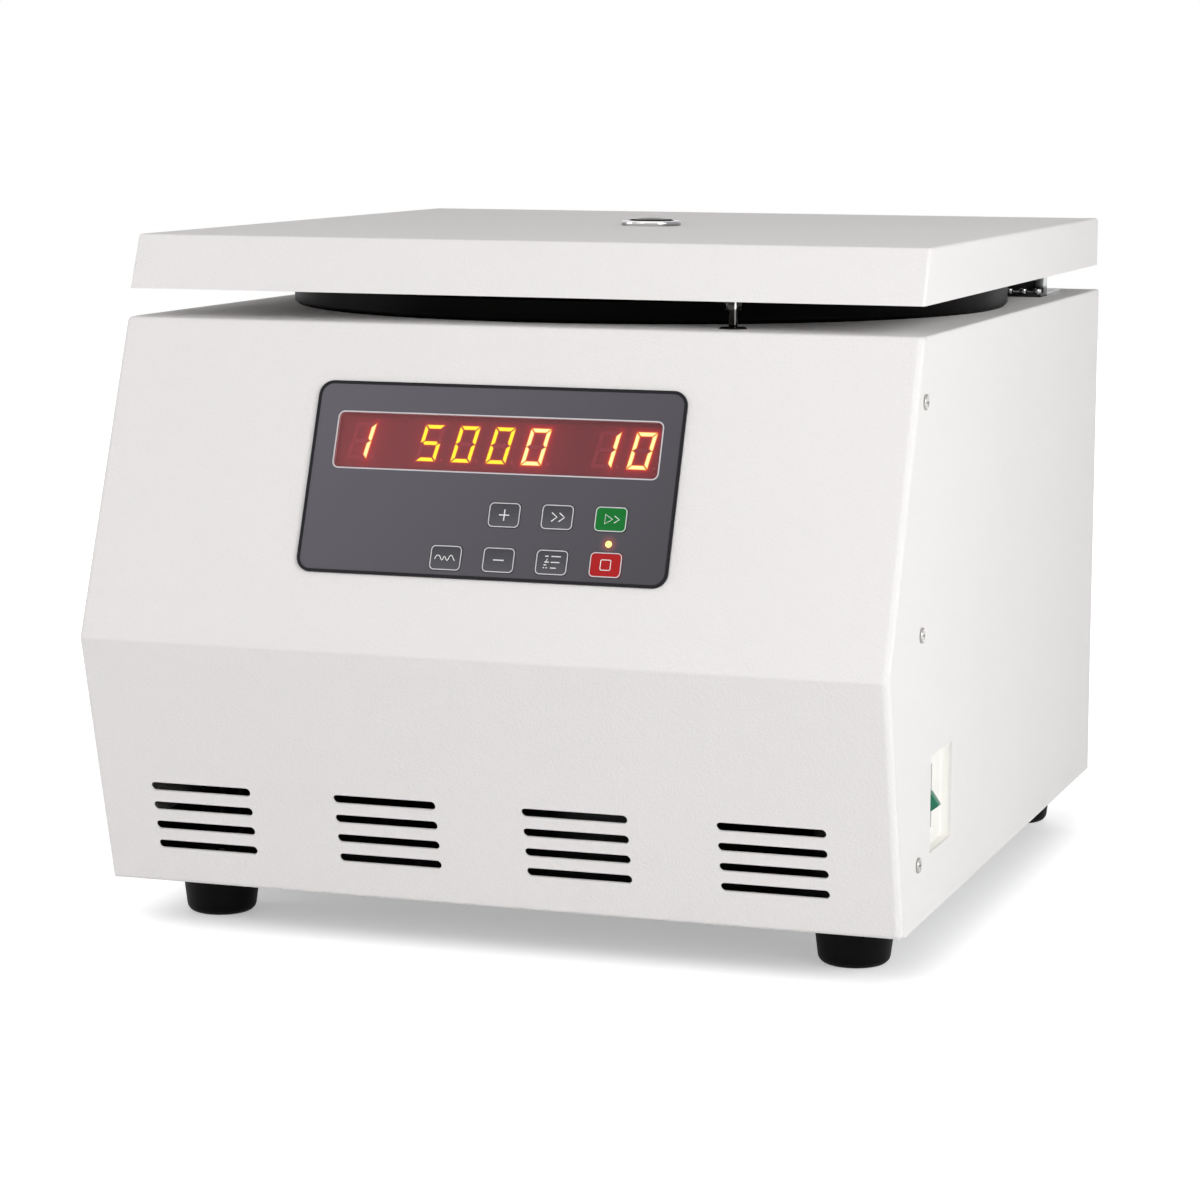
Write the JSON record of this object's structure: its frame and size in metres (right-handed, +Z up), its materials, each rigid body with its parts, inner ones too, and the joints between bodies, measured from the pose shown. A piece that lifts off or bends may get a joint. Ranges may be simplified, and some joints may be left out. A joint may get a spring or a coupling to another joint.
{
  "type": "microplate centrifuge",
  "caption": "Bench centrifuge for microplates: painted sheet-metal case with a sloping control panel, hinged lid with porthole, sealed round chamber and swing-out rotor.",
  "frame": {"origin": "on the bench, under the middle of the whole instrument", "axes": "+X to the instrument's right seen from the front, +Y to the rear, +Z up"},
  "size_m": [0.4458, 0.5319, 0.38],
  "materials": {
    "case_paint": "fine orange-peel powder coat",
    "lid_paint": "fine orange-peel powder coat",
    "zinc_sheet": "zinc plated",
    "stainless": "brushed",
    "black_rubber": "matt moulded rubber",
    "chrome": "polished",
    "port_glass": "dark clear pane",
    "black_paint": "satin black",
    "steel": "machined",
    "cast_alloy": "cast",
    "rotor_alloy": "anodised",
    "overlay_film": "printed polyester film",
    "display_red": "tinted filter",
    "digit_block": "cast epoxy",
    "board_green": "solder mask",
    "key_film": "printed film",
    "key_start_film": "printed film, green mark",
    "key_stop_film": "printed film, red mark",
    "amber_lens": "tinted lens",
    "ivory_plastic": "moulded",
    "lever_green": "moulded",
    "black_plastic": "moulded"
  },
  "bodies": {
    "case": {"front_panel": "case_paint", "outer_cover": "case_paint", "base_tray": "zinc_sheet", "rear_panel": "case_paint", "foot_front_left": "black_rubber", "foot_front_right": "black_rubber", "foot_rear_left": "black_rubber", "foot_rear_right": "black_rubber", "foot_screws": "steel", "side_screws": "chrome", "chamber_bowl": "stainless", "chamber_seal": "black_rubber", "latch_escutcheon": "chrome", "lock_housing": "black_plastic", "latch_solenoid": "zinc_sheet", "hinge_base_right": "steel", "hinge_base_left": "steel", "hinge_bolts": "chrome", "motor_plate": "zinc_sheet", "motor_dampers": "black_rubber", "motor_housing": "cast_alloy", "shaft_boot": "black_rubber", "control_overlay": "overlay_film", "display_window": "display_red", "display_digits": "digit_block", "control_board": "board_green", "status_led": "amber_lens", "switch_body": "ivory_plastic", "fan_frame": "black_plastic", "fan_guard": "chrome", "mains_inlet": "black_plastic", "motor_drive": "cast_alloy"},
    "lid": {"lid_shell": "lid_paint", "lid_liner": "stainless", "porthole_bezel": "chrome", "porthole_glass": "port_glass", "porthole_nut": "steel", "striker_pin": "chrome", "striker_nut": "steel", "hinge_arm_right": "black_paint", "hinge_arm_left": "black_paint", "hinge_pins": "chrome"},
    "rotor": {"motor_shaft": "steel", "rotor_yoke": "rotor_alloy", "trunnion_pins": "chrome", "rotor_nut": "steel"},
    "latch": {"latch_bolt": "steel"},
    "switch_lever": {"switch_lever": "lever_green"},
    "fan_wheel": {"fan_impeller": "black_plastic"},
    "bucket_1": {"bucket_1": "stainless"},
    "bucket_2": {"bucket_2": "stainless"},
    "bucket_3": {"bucket_3": "stainless"},
    "bucket_4": {"bucket_4": "stainless"},
    "key_plus": {"key_plus": "key_film"},
    "key_spin": {"key_spin": "key_film"},
    "key_start": {"key_start": "key_start_film"},
    "key_ramp": {"key_ramp": "key_film"},
    "key_minus": {"key_minus": "key_film"},
    "key_set": {"key_set": "key_film"},
    "key_stop": {"key_stop": "key_stop_film"}
  },
  "joints": [
    {"name": "lid_hinge", "type": "hinge", "parent": "case", "child": "lid", "pos_m": [0, 0.253, 0.3655], "axis": [-1, 0, 0], "range_deg": [0, 70]},
    {"name": "rotor_spin", "type": "hinge", "parent": "case", "child": "rotor", "pos_m": [0, 0.0369, 0.2775], "axis": [0, 0, 1], "continuous": true},
    {"name": "latch_slide", "type": "slide", "parent": "case", "child": "latch", "axis": [1, 0, 0], "range_m": [0, 0.006]},
    {"name": "switch_throw", "type": "hinge", "parent": "case", "child": "switch_lever", "pos_m": [0.2077, -0.14865, 0.08645], "axis": [0, -1, 0], "range_deg": [0, 35]},
    {"name": "fan_spin", "type": "hinge", "parent": "case", "child": "fan_wheel", "pos_m": [-0.1, 0.249, 0.1225], "axis": [0, 1, 0], "continuous": true},
    {"name": "bucket_1_swing", "type": "hinge", "parent": "rotor", "child": "bucket_1", "pos_m": [0.12, 0.0369, 0.2775], "axis": [0, -1, 0], "range_deg": [0, 90]},
    {"name": "bucket_2_swing", "type": "hinge", "parent": "rotor", "child": "bucket_2", "pos_m": [0, 0.1569, 0.2775], "axis": [1, 0, 0], "range_deg": [0, 90]},
    {"name": "bucket_3_swing", "type": "hinge", "parent": "rotor", "child": "bucket_3", "pos_m": [-0.12, 0.0369, 0.2775], "axis": [0, 1, 0], "range_deg": [0, 90]},
    {"name": "bucket_4_swing", "type": "hinge", "parent": "rotor", "child": "bucket_4", "pos_m": [0, -0.0831, 0.2775], "axis": [-1, 0, 0], "range_deg": [0, 90]},
    {"name": "key_plus_press", "type": "slide", "parent": "case", "child": "key_plus", "axis": [0, 0.9344, -0.3563], "range_m": [0, 0.0004], "stiffness_N_per_m": 2000, "springref_m": -0.0002},
    {"name": "key_spin_press", "type": "slide", "parent": "case", "child": "key_spin", "axis": [0, 0.9344, -0.3563], "range_m": [0, 0.0004], "stiffness_N_per_m": 2000, "springref_m": -0.0002},
    {"name": "key_start_press", "type": "slide", "parent": "case", "child": "key_start", "axis": [0, 0.9344, -0.3563], "range_m": [0, 0.0004], "stiffness_N_per_m": 2000, "springref_m": -0.0002},
    {"name": "key_ramp_press", "type": "slide", "parent": "case", "child": "key_ramp", "axis": [0, 0.9344, -0.3563], "range_m": [0, 0.0004], "stiffness_N_per_m": 2000, "springref_m": -0.0002},
    {"name": "key_minus_press", "type": "slide", "parent": "case", "child": "key_minus", "axis": [0, 0.9344, -0.3563], "range_m": [0, 0.0004], "stiffness_N_per_m": 2000, "springref_m": -0.0002},
    {"name": "key_set_press", "type": "slide", "parent": "case", "child": "key_set", "axis": [0, 0.9344, -0.3563], "range_m": [0, 0.0004], "stiffness_N_per_m": 2000, "springref_m": -0.0002},
    {"name": "key_stop_press", "type": "slide", "parent": "case", "child": "key_stop", "axis": [0, 0.9344, -0.3563], "range_m": [0, 0.0004], "stiffness_N_per_m": 2000, "springref_m": -0.0002}
  ]
}
